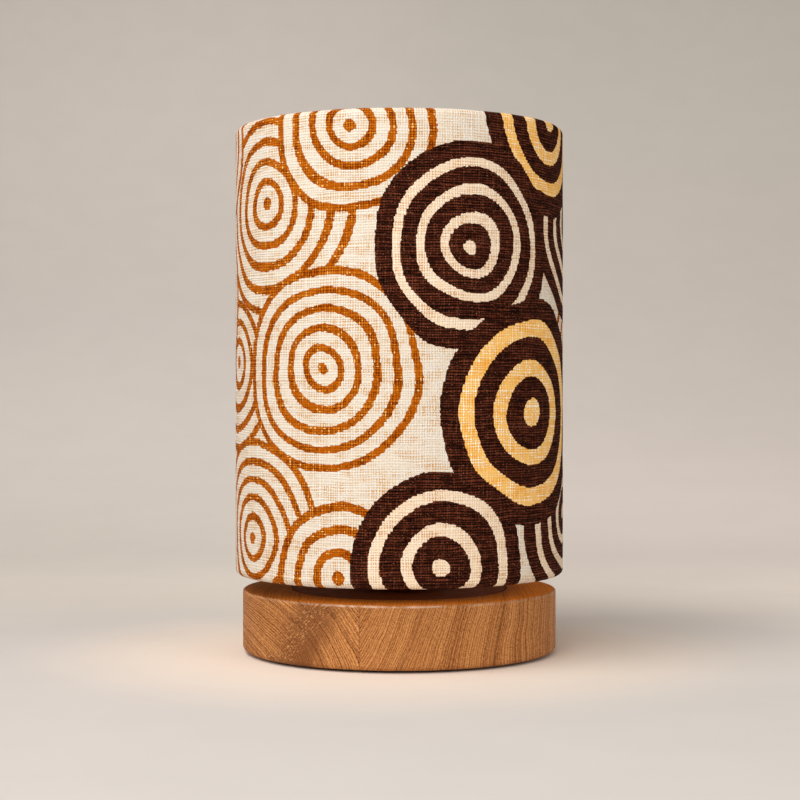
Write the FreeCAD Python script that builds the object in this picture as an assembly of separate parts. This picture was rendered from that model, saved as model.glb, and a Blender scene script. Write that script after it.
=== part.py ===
"""A table lamp whose fabric cylinder shade turns slowly on a turned wooden base.

Millimetres, +Z up, origin on the floor under the middle of the base. The front is -Y and the back is +Y.
A geared motor in the base drives a turntable, the turntable carries the shade, and a fixed pipe through
the turntable's bearings carries the lampholder and the bulb.
"""

import FreeCAD
import Part
import math
import os

V = FreeCAD.Vector
ORIGIN = V(0, 0, 0)
UP = V(0, 0, 1)
BACK = V(0, 1, 0)

# Shade
shade_d = 160.0
shade_h = 216.0
shade_gap = 7.5
fabric_t = 1.0
liner_t = 0.5
hem_wire_d = 3.0
hem_wire_play = 0.05
hem_leg = 8.0
arm_count = 3
arm_wire_d = 3.0
arm_lift = 0.1
arm_trim = 0.5
fitter_d = 54.0
fitter_t = 2.0
fitter_play = 0.4

# Wooden base and what closes it
base_d = 153.0
base_h = 29.5
arris_r = 1.0
foot_edge_r = 2.5
web_t = 4.0
cavity_d = 125.0
recess_d = 106.0
recess_depth = 6.5
cover_rim = 5.3
cover_t = 2.0
cover_play = 0.3
cover_screw_count = 4
cover_screw_first = 45.0
cover_screw_d = 3.0
cover_screw_head_d = 6.0
cover_screw_len = 12.0
cover_screw_point_d = 0.2
cover_screw_edge = 4.35
cover_screw_post_d = 12.0
pad_d = 14.0
pad_t = 1.2
pad_count = 4
pad_circle_d = 108.0

# Turntable, gears and bearings
disc_play = 1.0
disc_t = 1.8
tooth_module = 1.0
ring_teeth = 60
pinion_teeth = 15
addendum = 0.8
dedendum = 1.0
tooth_play = 0.15
pressure_deg = 20.0
ring_gear_t = 3.8
pinion_t = 3.2
pinion_drop = 0.4
gear_screw_count = 3
gear_screw_d = 2.5
gear_screw_head_d = 5.0
gear_screw_circle_d = 46.0
gear_screw_first = 30.0
gear_screw_tip = 0.5
gear_hole_play = 0.05
bearing_bore = 10.0
bearing_od = 19.0
bearing_b = 5.0
ball_d = 2.1
ball_count = 9
race_play = 0.25
land_t = 1.4
cage_t = 0.6
cage_w = 3.0
pocket_play = 0.15
spigot_d = 26.0
neck_d = 28.0
shoulder_d = 52.0
shoulder_t = 3.0
barrel_d = 40.0
bearing_step = 0.9
shade_nut_d = 55.0
shade_nut_h = 6.0
shade_nut_play = 0.05
shade_nut_notches = 6
shade_nut_notch_d = 8.0
shade_nut_notch_out = 1.5
barrel_stub = 0.8

# Fixed pipe and its nuts
pipe_bore = 7.0
pipe_hole_play = 0.2
pipe_tail = 3.0
pipe_grip = 10.0
nut_af = 14.0
lower_nut_h = 3.5
clamp_nut_h = 2.0
clamp_boss_h = 0.5
bearing_nut_h = 3.5
washer_d = 25.0
washer_t = 1.0

# Geared motor
motor_d = 42.0
motor_h = 13.5
motor_wall = 0.8
motor_plate_t = 1.0
bush_d = 10.0
bush_h = 3.8
bush_hole_play = 0.2
shaft_d = 6.0
shaft_flat = 0.5
shaft_play = 0.06
shaft_tail = 8.0
ear_reach = 4.0
ear_d = 10.0
motor_screw_d = 3.0
motor_screw_head_d = 5.5
motor_screw_head_h = 2.0
motor_screw_grip = 3.5
motor_lead_angle = 115.0

# Lampholder
holder_gap = 3.0
holder_boss_d = 16.0
holder_cap_d = 34.0
holder_cap_h = 16.0
holder_cap_wall = 2.5
holder_boss_h = 4.0
holder_shoulder_h = 3.0
holder_sleeve_wall = 2.0
holder_sleeve_h = 41.0
holder_sleeve_lap = 6.0
holder_sleeve_play = 0.1
holder_sleeve_lip = 1.0
insert_t = 7.0
insert_hole_d = 3.0
insert_hole_pitch = 20.0
shell_turns = 6
shell_wall = 0.5
shell_play = 0.35
tongue_h = 2.0
tongue_w = 5.0
tongue_t = 0.5
tongue_foot = 3.0
tongue_slope = 4.0
tongue_pad = 5.0
tongue_end = 3.0

# Bulb
cap_mean_d = 25.4
cap_wave = 0.5
cap_pitch = 3.62
cap_turns = 6
tip_d = 9.0
tip_h = 0.8
tip_bevel = 1.5
insulator_h = 2.2
insulator_lip = 0.5
potting_d = 22.0
globe_d = 60.0
globe_wall = 1.2
globe_waist_deg = 25.0
globe_neck_d = 42.0
collar_h = 29.0
collar_rim_h = 4.0
collar_foot_d = 27.0
led_board_t = 1.6
led_board_seat = 3.0
led_board_play = 0.2
led_board_gap = 0.8

# Rocker switch at the back, turned away from the cord inlet
switch_angle = -32.0
flat_depth = 2.0
flat_margin = 1.0
bezel_w = 15.0
bezel_h = 10.5
bezel_t = 1.2
bezel_corner_r = 0.8
switch_w = 13.4
switch_body_h = 8.8
switch_depth = 12.0
switch_panel_t = 2.5
switch_hole_play = 0.1
switch_well = 9.5
clip_reach = 1.0
clip_drop = 0.2
clip_len = 3.0
clip_w = 3.0
rocker_r = 5.6
rocker_h = 6.8
rocker_play = 0.3
rocker_tilt = 10.0
rocker_sink = 0.2
rocker_dip = 1.8
trunnion_r = 1.0
trunnion_len = 0.8
trunnion_play = 0.06
blade_t = 0.6
blade_w = 4.0
blade_len = 7.0
blade_pitch = 3.0
pocket_w = 18.0
pocket_h = 12.0

# Cord inlet at the back
gland_bore = 7.2
gland_d = 10.0
gland_flange_d = 14.0
gland_flange_t = 2.0
gland_flat_depth = 1.3
gland_hole_play = 0.1
gland_spot_depth = 2.0
gland_nut_af = 13.0
gland_nut_h = 3.0
gland_nut_gap = 1.0
gland_nut_play = 0.4
gland_flat_play = 1.2

# Terminal block and the leads between the inner pieces
block_w = 16.0
block_len = 26.0
block_h = 8.5
block_x = -36.0
block_y = 14.0
block_poles = 3
block_pitch = 9.0
block_well_d = 3.6
block_well_depth = 3.0
block_screw_d = 3.0
block_screw_grip = 3.5
block_screw_head_h = 1.6
terminal_screw_sink = 1.0
terminal_slot_depth = 0.8
terminal_slot_len = 2.8
terminal_slot_w = 0.6
lead_d = 3.2
lead_z = 14.0
lead_bend = 0.45
lead_drop = 2.6
motor_lead_exit = 8.0
motor_lead_entry = 11.0
lamp_lead_entry = 9.0
switch_lead_exit = 13.0
switch_lead_entry = 12.0
switch_lead_x = 6.0
switch_lead_y = 24.0

# Recesses in screw heads, and how far a cut runs past the face it leaves
slot_w = 0.7
slot_depth = 0.9
slot_share = 0.64
past = 1.0

# Radii of the base
base_r = base_d / 2
cavity_r = cavity_d / 2
cover_r = base_r - cover_rim
cover_screw_r = cover_r - cover_screw_edge

# Heights, from the floor up
wood_z0 = pad_t
wood_z1 = wood_z0 + base_h
cover_z1 = wood_z0 + cover_t
recess_z = wood_z1 - recess_depth
roof_z = recess_z - web_t
disc_z0 = wood_z1 - disc_t
gear_z0 = disc_z0 - ring_gear_t
pinion_z1 = disc_z0 - pinion_drop
pinion_z0 = pinion_z1 - pinion_t
shade_z0 = wood_z1 + shade_gap
shade_z1 = shade_z0 + shade_h

# Shade radii
shade_r = shade_d / 2
liner_r1 = shade_r - fabric_t
liner_r0 = liner_r1 - liner_t
hem_r = (2 * fabric_t + liner_t + hem_wire_d + 2 * hem_wire_play) / 2
ring_wire_r = liner_r0 - hem_wire_play - hem_wire_d / 2
hem_low_z = shade_z0 + hem_r
hem_high_z = shade_z1 - hem_r
arm_z = hem_low_z + arm_wire_d / 2 + arm_lift
fitter_z0 = arm_z - fitter_t / 2
fitter_z1 = arm_z + fitter_t / 2

# Bearings and hub
lower_bearing_z = recess_z + clamp_nut_h + clamp_boss_h
shade_nut_z1 = fitter_z1 + shade_nut_h
hub_z1 = shade_nut_z1 + barrel_stub
upper_bearing_z = hub_z1 - bearing_nut_h - bearing_b
ball_circle_r = (bearing_bore + bearing_od) / 4
inner_land_r = bearing_bore / 2 + land_t
outer_land_r = bearing_od / 2 - land_t
groove_r = ball_d / 2 + race_play

# Gears and motor: the motor stands midway between the pipe's washer and the wall
gear_centres = tooth_module * (ring_teeth + pinion_teeth) / 2
shaft_y = -gear_centres
motor_y = -(cavity_r + washer_d / 2) / 2
ear_x = motor_d / 2 + ear_reach
motor_plate_z0 = roof_z - motor_plate_t
motor_z0 = motor_plate_z0 - motor_h
shaft_z0 = motor_plate_z0 - shaft_tail

# Lampholder and bulb
holder_z0 = hub_z1 + holder_gap
pipe_z0 = roof_z - washer_t - lower_nut_h - pipe_tail
pipe_z1 = holder_z0 + pipe_grip
holder_cap_z1 = holder_z0 + holder_cap_h
sleeve_z0 = holder_cap_z1 - holder_sleeve_lap
sleeve_z1 = sleeve_z0 + holder_sleeve_h
insert_z1 = holder_cap_z1 + insert_t
tip_z0 = insert_z1 + tongue_h
insulator_z0 = tip_z0 + tip_h
bulb_cap_z0 = insulator_z0 + insulator_h
bulb_cap_z1 = bulb_cap_z0 + cap_turns * cap_pitch
collar_z1 = bulb_cap_z1 + collar_h
board_z0 = collar_z1 - led_board_seat

# Back wall
inlet_z = (cover_z1 + roof_z) / 2
switch_z = inlet_z
flat_y = base_r - flat_depth
bezel_y1 = flat_y + bezel_t
pivot_y = bezel_y1 - rocker_sink - rocker_dip
switch_y0 = flat_y - switch_depth
blade_y0 = switch_y0 - blade_len
gland_y1 = base_r - gland_flat_depth
gland_seat_y = cavity_r + gland_spot_depth
gland_nut_y0 = gland_seat_y - gland_nut_h
gland_y0 = gland_nut_y0 - gland_nut_gap

# Terminal block: its screw stands between two poles
block_z0 = roof_z - block_h
block_face_x = block_x + block_w / 2
block_screw_y = block_y + block_pitch / 2


def cylinder(r, z0, z1, x=0.0, y=0.0):
    return Part.makeCylinder(r, z1 - z0, V(x, y, z0))


def ring(r0, r1, z0, z1, x=0.0, y=0.0):
    return cylinder(r1, z0, z1, x, y).cut(cylinder(r0, z0, z1, x, y))


def block(x0, x1, y0, y1, z0, z1):
    return Part.makeBox(x1 - x0, y1 - y0, z1 - z0, V(x0, y0, z0))


def rod_y(r, y0, y1, x, z):
    """A round bar that runs towards the back."""
    return Part.makeCylinder(r, y1 - y0, V(x, y0, z), BACK)


def outline_face(points):
    """A flat face through straight-sided points."""
    return Part.Face(Part.makePolygon(points + points[:1]))


def turned(start, *steps):
    """A solid turned about Z: each step is a line's end (r, z), or an arc's middle and end (r, z, r, z)."""
    edges = []
    first = V(start[0], 0, start[1])
    at = first
    for step in steps:
        end = V(step[-2], 0, step[-1])
        if len(step) == 4:
            edges.append(Part.Arc(at, V(step[0], 0, step[1]), end).toShape())
        else:
            edges.append(Part.LineSegment(at, end).toShape())
        at = end
    if at.distanceToPoint(first) > 1e-6:
        edges.append(Part.LineSegment(at, first).toShape())
    return Part.Face(Part.Wire(edges)).revolve(ORIGIN, UP, 360)


def hexagon(across_flats, z0, z1):
    """A hexagonal prism about Z."""
    corner = across_flats / math.sqrt(3)
    turns = [math.radians(60 * i) for i in range(6)]
    points = [V(corner * math.cos(a), corner * math.sin(a), z0) for a in turns]
    return outline_face(points).extrude(V(0, 0, z1 - z0))


def about_z(shape, degrees):
    copy = shape.copy()
    copy.rotate(ORIGIN, UP, degrees)
    return copy


def around(shape, count, first=0.0):
    """Copies of a shape spread evenly about Z."""
    return [about_z(shape, first + 360 * i / count) for i in range(count)]


def group(solids):
    return Part.makeCompound(solids)


def save(name, shape):
    solids = shape.Solids
    kept = solids[0] if len(solids) == 1 else Part.makeCompound(solids)
    kept.exportStep(os.path.join("parts", name + ".step"))


def lead(name, points):
    """A round lead along straight runs that meet in tangent arcs."""
    edges = []
    radii = []
    at = points[0]
    for before, corner, after in zip(points, points[1:], points[2:]):
        run_in = (corner - before).Length
        run_out = (after - corner).Length
        towards = (before - corner).normalize()
        away = (after - corner).normalize()
        turn = math.pi - towards.getAngle(away)
        trim = lead_bend * min(run_in, run_out)
        radius = trim / math.tan(turn / 2)
        middle = (towards + away).normalize()
        arc_in = corner + towards * trim
        arc_out = corner + away * trim
        arc_mid = corner + middle * (radius / math.cos(turn / 2) - radius)
        edges.append(Part.LineSegment(at, arc_in).toShape())
        edges.append(Part.Arc(arc_in, arc_mid, arc_out).toShape())
        radii.append(round(radius, 1))
        at = arc_out
    edges.append(Part.LineSegment(at, points[-1]).toShape())
    path = Part.Wire(edges)
    section = Part.Wire(Part.makeCircle(lead_d / 2, points[0], points[1] - points[0]))
    solid = path.makePipeShell([section], True, False)
    print(name, "bend radii", radii, "length", round(path.Length, 1))
    return solid


def waved(mean_r, wave, z0, turns):
    """A round bar with the rolled waves of a lamp thread on it."""
    steps = []
    for i in range(turns):
        z = z0 + i * cap_pitch
        steps.append((mean_r + wave, z + cap_pitch / 4, mean_r, z + cap_pitch / 2))
        steps.append((mean_r - wave, z + cap_pitch * 3 / 4, mean_r, z + cap_pitch))
    top = z0 + turns * cap_pitch
    return turned((0, z0), (mean_r, z0), *steps, (0, top))


def gear(teeth, z0, z1, x, y, first_deg):
    """A spur gear with stub involute teeth; its first tooth points along first_deg."""
    pitch_r = tooth_module * teeth / 2
    tip_r = pitch_r + addendum * tooth_module
    root_r = pitch_r - dedendum * tooth_module
    pressure = math.radians(pressure_deg)
    circle_r = pitch_r * math.cos(pressure)
    half = math.pi / (2 * teeth) - tooth_play / (2 * pitch_r)
    swing = math.tan(pressure) - pressure
    foot_r = max(circle_r, root_r)
    steps = 4
    flank = [foot_r + (tip_r - foot_r) * i / (steps - 1) for i in range(steps)]
    side = [(root_r, None)] if foot_r > root_r else []
    for r in flank:
        roll = math.acos(min(1.0, circle_r / r))
        side.append((r, half + swing - (math.tan(roll) - roll)))
    side = [(r, side[1][1] if angle is None else angle) for r, angle in side]
    points = []
    for i in range(teeth):
        centre = math.radians(first_deg) + 2 * math.pi * i / teeth
        for r, angle in side:
            points.append(V(x + r * math.cos(centre - angle), y + r * math.sin(centre - angle), z0))
        for r, angle in reversed(side):
            points.append(V(x + r * math.cos(centre + angle), y + r * math.sin(centre + angle), z0))
    return outline_face(points).extrude(V(0, 0, z1 - z0))


def base_plinth():
    """The turned wooden base, hollowed from below and recessed on top for the turntable."""
    k = math.sqrt(0.5)
    e = foot_edge_r
    a = arris_r
    body = turned(
        (0, wood_z0),
        (base_r - e, wood_z0),
        (base_r - e + e * k, wood_z0 + e - e * k, base_r, wood_z0 + e),
        (base_r, wood_z1 - a),
        (base_r - a + a * k, wood_z1 - a + a * k, base_r - a, wood_z1),
        (0, wood_z1),
    )
    cuts = [
        cylinder(cover_r + cover_play, wood_z0 - past, cover_z1),
        cavity(),
        cylinder(recess_d / 2, recess_z, wood_z1 + past),
        cylinder(bearing_bore / 2 + pipe_hole_play, roof_z - past, recess_z + past),
        cylinder(bush_d / 2 + bush_hole_play, roof_z - past, recess_z + past, 0, shaft_y),
    ]
    for side in (-1, 1):
        high = roof_z + motor_screw_grip
        cuts.append(cylinder(motor_screw_d / 2, roof_z - past, high, side * ear_x, motor_y))
    cuts.append(cylinder(block_screw_d / 2, roof_z - past, roof_z + block_screw_grip, block_x, block_screw_y))
    pilot = cylinder(cover_screw_d / 2, cover_z1 - past, wood_z0 + cover_screw_len, cover_screw_r, 0)
    cuts += around(pilot, cover_screw_count, cover_screw_first)
    cuts += [about_z(cut, switch_angle) for cut in switch_cuts()]
    cuts += gland_cuts()
    for cut in cuts:
        body = body.cut(cut)
    return body


def cavity():
    """The round hollow under the web, with a post of wood left standing for each cover screw."""
    hollow = cylinder(cavity_r, wood_z0, roof_z)
    post = cylinder(cover_screw_post_d / 2, wood_z0 - past, roof_z + past, cover_screw_r, 0)
    for one in around(post, cover_screw_count, cover_screw_first):
        hollow = hollow.cut(one)
    return hollow


def switch_cuts():
    """The milled flat, the panel hole and the inner pocket for the switch, before they are turned into place."""
    half_w = bezel_w / 2 + flat_margin
    half_h = bezel_h / 2 + flat_margin
    hole_w = switch_w / 2 + switch_hole_play
    hole_h = switch_body_h / 2 + switch_hole_play
    pocket_x = pocket_w / 2
    pocket_y0 = cavity_r - pocket_x
    pocket_y1 = flat_y - switch_panel_t
    return [
        block(-half_w, half_w, flat_y, base_r + past, switch_z - half_h, switch_z + half_h),
        block(-hole_w, hole_w, pocket_y1 - past, base_r, switch_z - hole_h, switch_z + hole_h),
        block(-pocket_x, pocket_x, pocket_y0, pocket_y1, switch_z - pocket_h / 2, switch_z + pocket_h / 2),
    ]


def gland_cuts():
    """The outer spot face, the hole and the inner spot face for the cord inlet."""
    seat_r = nut_seat_r()
    return [
        rod_y(gland_flange_d / 2 + gland_flat_play, gland_y1, base_r + past, 0, inlet_z),
        rod_y(gland_d / 2 + gland_hole_play, gland_y0, base_r, 0, inlet_z),
        rod_y(seat_r, cavity_r - seat_r, gland_seat_y, 0, inlet_z),
    ]


def nut_seat_r():
    return gland_nut_af / math.sqrt(3) + gland_nut_play


def bottom_cover():
    """The steel plate that closes the base; its countersunk screws and its pads sit on it."""
    plate = cylinder(cover_r, wood_z0, cover_z1)
    for cut in around(cover_screw(), cover_screw_count, cover_screw_first):
        plate = plate.cut(cut)
    return plate


def cover_screw():
    """One countersunk wood screw, head flush with the cover's underside."""
    x = cover_screw_r
    cone_h = (cover_screw_head_d - cover_screw_d) / 2
    head = Part.makeCone(cover_screw_head_d / 2, cover_screw_d / 2, cone_h, V(x, 0, wood_z0))
    tip_h = cover_screw_d
    shank = cylinder(cover_screw_d / 2, wood_z0, wood_z0 + cover_screw_len - tip_h, x, 0)
    tip_at = V(x, 0, wood_z0 + cover_screw_len - tip_h)
    tip = Part.makeCone(cover_screw_d / 2, cover_screw_point_d / 2, tip_h, tip_at)
    return head.fuse(shank).fuse(tip).removeSplitter()


def slotted(screw, head_d, x, y, z, inward):
    """A cross recess in a screw head whose face is at z; inward is 1 where the screw goes up and -1 down."""
    low, high = sorted((z, z + inward * slot_depth))
    reach = slot_share * head_d / 2
    half_w = slot_w / 2
    cross = block(x - reach, x + reach, y - half_w, y + half_w, low, high)
    cross = cross.fuse(block(x - half_w, x + half_w, y - reach, y + reach, low, high))
    return screw.cut(cross)


def cover_screws():
    screw = slotted(cover_screw(), cover_screw_head_d, cover_screw_r, 0, wood_z0, 1)
    return group(around(screw, cover_screw_count, cover_screw_first))


def foot_pads():
    pad = cylinder(pad_d / 2, 0, pad_t, pad_circle_d / 2, 0)
    return group(around(pad, pad_count))


def motor_case():
    """The motor's drawn cup."""
    shell = cylinder(motor_d / 2, motor_z0, motor_plate_z0, 0, motor_y)
    hollow = cylinder(motor_d / 2 - motor_wall, motor_z0 + motor_wall, motor_plate_z0, 0, motor_y)
    return shell.cut(hollow)


def motor_plate():
    """The motor's front plate with its two ears and the bush that holds the output shaft."""
    plate = cylinder(motor_d / 2, motor_plate_z0, roof_z, 0, motor_y)
    for side in (-1, 1):
        plate = plate.fuse(cylinder(ear_d / 2, motor_plate_z0, roof_z, side * ear_x, motor_y))
        x0, x1 = sorted((0, side * ear_x))
        plate = plate.fuse(block(x0, x1, motor_y - ear_d / 2, motor_y + ear_d / 2, motor_plate_z0, roof_z))
    plate = plate.fuse(cylinder(bush_d / 2, motor_plate_z0, roof_z + bush_h, 0, shaft_y)).removeSplitter()
    low = motor_plate_z0 - past
    plate = plate.cut(cylinder(shaft_d / 2 + shaft_play, low, roof_z + bush_h + past, 0, shaft_y))
    for side in (-1, 1):
        plate = plate.cut(cylinder(motor_screw_d / 2, low, roof_z + past, side * ear_x, motor_y))
    return plate


def motor_screws():
    screws = []
    for side in (-1, 1):
        x = side * ear_x
        head_z = motor_plate_z0 - motor_screw_head_h
        head = cylinder(motor_screw_head_d / 2, head_z, motor_plate_z0, x, motor_y)
        shank = cylinder(motor_screw_d / 2, head_z, roof_z + motor_screw_grip, x, motor_y)
        screw = head.fuse(shank).removeSplitter()
        screws.append(slotted(screw, motor_screw_head_d, x, motor_y, head_z, 1))
    return group(screws)


def flatted(r, z0, z1):
    """The output shaft's section: round with one flat."""
    bar = cylinder(r, z0, z1, 0, shaft_y)
    side = shaft_y - r
    return bar.cut(block(-r, r, side - past, side + shaft_flat, z0 - past, z1 + past))


def motor_shaft():
    bush_z1 = roof_z + bush_h
    round_part = cylinder(shaft_d / 2, shaft_z0, bush_z1, 0, shaft_y)
    return round_part.fuse(flatted(shaft_d / 2, bush_z1, pinion_z1)).removeSplitter()


def drive_pinion():
    """The small gear on the motor's shaft; one tooth points at the ring gear's centre."""
    wheel = gear(pinion_teeth, pinion_z0, pinion_z1, 0, shaft_y, 90)
    return wheel.cut(flatted(shaft_d / 2, pinion_z0 - past, pinion_z1 + past))


def ring_gear():
    """The big gear under the turntable; a gap between two teeth faces the pinion."""
    wheel = gear(ring_teeth, gear_z0, disc_z0, 0, 0, -90 + 180 / ring_teeth)
    low = gear_z0 - past
    high = disc_z0 + past
    wheel = wheel.cut(cylinder(spigot_d / 2 + gear_hole_play, low, high))
    pilot = cylinder(gear_screw_d / 2, low, high, gear_screw_circle_d / 2, 0)
    for cut in around(pilot, gear_screw_count, gear_screw_first):
        wheel = wheel.cut(cut)
    return wheel


def gear_screw():
    """One countersunk screw from the turntable's top face into the gear."""
    x = gear_screw_circle_d / 2
    cone_h = (gear_screw_head_d - gear_screw_d) / 2
    head = Part.makeCone(gear_screw_d / 2, gear_screw_head_d / 2, cone_h, V(x, 0, wood_z1 - cone_h))
    return head.fuse(cylinder(gear_screw_d / 2, gear_z0 + gear_screw_tip, wood_z1, x, 0)).removeSplitter()


def gear_screws():
    screw = slotted(gear_screw(), gear_screw_head_d, gear_screw_circle_d / 2, 0, wood_z1, -1)
    return group(around(screw, gear_screw_count, gear_screw_first))


def turntable_hub():
    """The turned hub: disc, neck, shoulder for the shade and threaded barrel, bored for two bearings."""
    seat_r = bearing_od / 2
    waist_r = seat_r - bearing_step
    hub = turned(
        (seat_r, lower_bearing_z),
        (spigot_d / 2, lower_bearing_z),
        (spigot_d / 2, disc_z0),
        (recess_d / 2 - disc_play, disc_z0),
        (recess_d / 2 - disc_play, wood_z1),
        (neck_d / 2, wood_z1),
        (neck_d / 2, fitter_z0 - shoulder_t),
        (shoulder_d / 2, fitter_z0 - shoulder_t),
        (shoulder_d / 2, fitter_z0),
        (barrel_d / 2, fitter_z0),
        (barrel_d / 2, hub_z1),
        (seat_r, hub_z1),
        (seat_r, upper_bearing_z),
        (waist_r, upper_bearing_z),
        (waist_r, lower_bearing_z + bearing_b),
        (seat_r, lower_bearing_z + bearing_b),
    )
    for cut in around(gear_screw(), gear_screw_count, gear_screw_first):
        hub = hub.cut(cut)
    return hub


def bearing_levels():
    return (lower_bearing_z, upper_bearing_z)


def raceway(z):
    return Part.makeTorus(ball_circle_r, groove_r, V(0, 0, z + bearing_b / 2), UP)


def races(r0, r1):
    """One ring of each bearing, with the groove that the balls run in."""
    return group([ring(r0, r1, z, z + bearing_b).cut(raceway(z)) for z in bearing_levels()])


def bearing_inner_rings():
    return races(bearing_bore / 2, inner_land_r)


def bearing_outer_rings():
    return races(outer_land_r, bearing_od / 2)


def bearing_balls():
    balls = []
    for z in bearing_levels():
        ball = Part.makeSphere(ball_d / 2, V(ball_circle_r, 0, z + bearing_b / 2))
        balls += around(ball, ball_count)
    return group(balls)


def bearing_cages():
    """The rings that keep the balls apart."""
    cages = []
    for z in bearing_levels():
        low = z + (bearing_b - cage_w) / 2
        cage = ring(ball_circle_r - cage_t / 2, ball_circle_r + cage_t / 2, low, low + cage_w)
        pocket_r = ball_d / 2 + pocket_play
        pocket = Part.makeCylinder(pocket_r, bearing_od / 2, V(0, 0, z + bearing_b / 2), V(1, 0, 0))
        for cut in around(pocket, ball_count):
            cage = cage.cut(cut)
        cages.append(cage)
    return group(cages)


def bearing_spacer():
    return ring(bearing_bore / 2, inner_land_r, lower_bearing_z + bearing_b, upper_bearing_z)


def lamp_pipe():
    return ring(pipe_bore / 2, bearing_bore / 2, pipe_z0, pipe_z1)


def pipe_nut(z0, z1):
    return hexagon(nut_af, z0, z1).cut(cylinder(bearing_bore / 2, z0 - past, z1 + past))


def pipe_lower_nut():
    return pipe_nut(roof_z - washer_t - lower_nut_h, roof_z - washer_t)


def pipe_washer():
    return ring(bearing_bore / 2, washer_d / 2, roof_z - washer_t, roof_z)


def pipe_clamp_nut():
    """The thin nut on the web; its boss carries the lower bearing's inner ring."""
    boss = ring(bearing_bore / 2, inner_land_r, recess_z + clamp_nut_h, lower_bearing_z)
    return pipe_nut(recess_z, recess_z + clamp_nut_h).fuse(boss).removeSplitter()


def bearing_nut():
    """The nut that holds the upper bearing's inner ring down; its boss clears the outer ring."""
    z0 = upper_bearing_z + bearing_b
    nut = pipe_nut(z0 + clamp_boss_h, z0 + bearing_nut_h)
    return nut.fuse(ring(bearing_bore / 2, inner_land_r, z0, z0 + clamp_boss_h)).removeSplitter()


def shade_frame():
    """The shade's lower wire ring, its arms and the fitter plate that drops over the hub's barrel."""
    frame = Part.makeTorus(ring_wire_r, hem_wire_d / 2, V(0, 0, hem_low_z), UP)
    plate = ring(barrel_d / 2 + fitter_play, fitter_d / 2, fitter_z0, fitter_z1)
    arm_start = (barrel_d / 2 + fitter_play + fitter_d / 2) / 2
    arm = Part.makeCylinder(arm_wire_d / 2, ring_wire_r - arm_start, V(arm_start, 0, arm_z), V(1, 0, 0))
    room = cylinder(shade_nut_d / 2 + arm_trim, fitter_z1, arm_z + arm_wire_d)
    room = room.fuse(cylinder(shoulder_d / 2 + arm_trim, arm_z - arm_wire_d, fitter_z0))
    for one in around(arm.cut(room), arm_count, 90):
        frame = frame.fuse(one)
    return frame.fuse(plate)


def shade_top_ring():
    return Part.makeTorus(ring_wire_r, hem_wire_d / 2, V(0, 0, hem_high_z), UP)


def shade_liner():
    return ring(liner_r0, liner_r1, hem_low_z, hem_high_z)


def shade_fabric():
    """The fabric wall, rolled over the top and bottom wires; the top hem has a leg tucked behind its wire."""
    r = shade_r
    low = hem_low_z
    high = hem_high_z
    inner = r - 2 * hem_r
    middle = r - hem_r
    return turned(
        (r, low),
        (r, high),
        (middle, shade_z1, inner, high),
        (inner, high - hem_leg),
        (inner + fabric_t, high - hem_leg),
        (inner + fabric_t, high),
        (middle, shade_z1 - fabric_t, r - fabric_t, high),
        (r - fabric_t, low),
        (middle, shade_z0 + fabric_t, inner + fabric_t, low),
        (inner, low),
        (middle, shade_z0, r, low),
    )


def shade_ring_nut():
    """The notched hand nut that holds the shade's fitter down on the hub."""
    nut = ring(barrel_d / 2 + shade_nut_play, shade_nut_d / 2, fitter_z1, shade_nut_z1)
    notch_x = shade_nut_d / 2 + shade_nut_notch_out
    notch = cylinder(shade_nut_notch_d / 2, fitter_z1 - past, shade_nut_z1 + past, notch_x, 0)
    for cut in around(notch, shade_nut_notches):
        nut = nut.cut(cut)
    return nut


def holder_cap():
    """The lampholder's domed cap, screwed on the pipe."""
    r = holder_cap_d / 2
    wall = holder_cap_wall
    boss_z = holder_z0 + holder_boss_h
    shoulder_z = boss_z + holder_shoulder_h
    return turned(
        (bearing_bore / 2, holder_z0),
        (holder_boss_d / 2, holder_z0),
        (holder_boss_d / 2, boss_z),
        (r, shoulder_z),
        (r, holder_cap_z1),
        (r - wall, holder_cap_z1),
        (r - wall, pipe_z1),
        (bearing_bore / 2, pipe_z1),
    )


def holder_sleeve():
    """The outer sleeve, lapped over the cap, with a lip at its mouth."""
    inner = holder_cap_d / 2 + holder_sleeve_play
    outer = inner + holder_sleeve_wall
    lip = holder_sleeve_lip
    return turned(
        (inner, sleeve_z0),
        (outer, sleeve_z0),
        (outer, sleeve_z1 - lip),
        (outer - lip, sleeve_z1),
        (inner - lip, sleeve_z1),
        (inner - lip, sleeve_z1 - 2 * lip),
        (inner, sleeve_z1 - 3 * lip),
    )


def holder_insert():
    """The ceramic core that carries the contacts, with two wire holes."""
    core = cylinder(holder_cap_d / 2, holder_cap_z1, insert_z1)
    for side in (-1, 1):
        hole_y = side * insert_hole_pitch / 2
        core = core.cut(cylinder(insert_hole_d / 2, holder_cap_z1 - past, insert_z1 + past, 0, hole_y))
    return core


def holder_screw_shell():
    """The brass thread that the bulb's cap screws into."""
    outer = waved(cap_mean_d / 2 + shell_play + shell_wall, cap_wave, bulb_cap_z0, shell_turns)
    inner = waved(cap_mean_d / 2 + shell_play, cap_wave, bulb_cap_z0, shell_turns)
    foot_r = cap_mean_d / 2 + shell_play + shell_wall
    foot = ring(foot_r - shell_wall, foot_r, insert_z1, bulb_cap_z0)
    return outer.cut(inner).fuse(foot).removeSplitter()


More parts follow.
